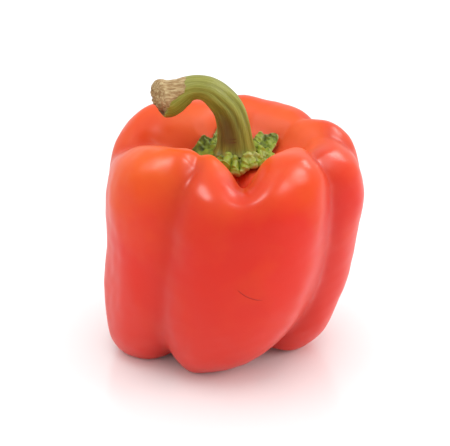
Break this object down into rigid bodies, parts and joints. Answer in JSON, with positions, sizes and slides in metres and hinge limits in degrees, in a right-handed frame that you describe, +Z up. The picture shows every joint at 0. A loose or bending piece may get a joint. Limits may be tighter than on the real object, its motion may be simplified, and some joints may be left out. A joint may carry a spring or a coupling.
{
  "type": "bell pepper",
  "caption": "Whole ripe bell pepper standing on its lobes, with grooved shoulders, a sunken calyx and an arched, cut stem",
  "frame": {"origin": "on the surface that the pepper stands on, under the middle of its box", "axes": "+Z up, from the feet to the stem; -Y towards the front, where two shoulders meet in a notch; -X the way the stem arches"},
  "size_m": [0.0902, 0.0902, 0.0989],
  "materials": {
    "skin": "glossy waxy skin, orange-red on the shoulders and pinker below",
    "calyx": "fleshy green with a lumpy, slightly moist surface",
    "stem": "olive green ribbed stalk with a dry tan cut end"
  },
  "bodies": {
    "root": {"fruit": "skin", "calyx": "calyx", "stem": "stem"}
  },
  "joints": []
}
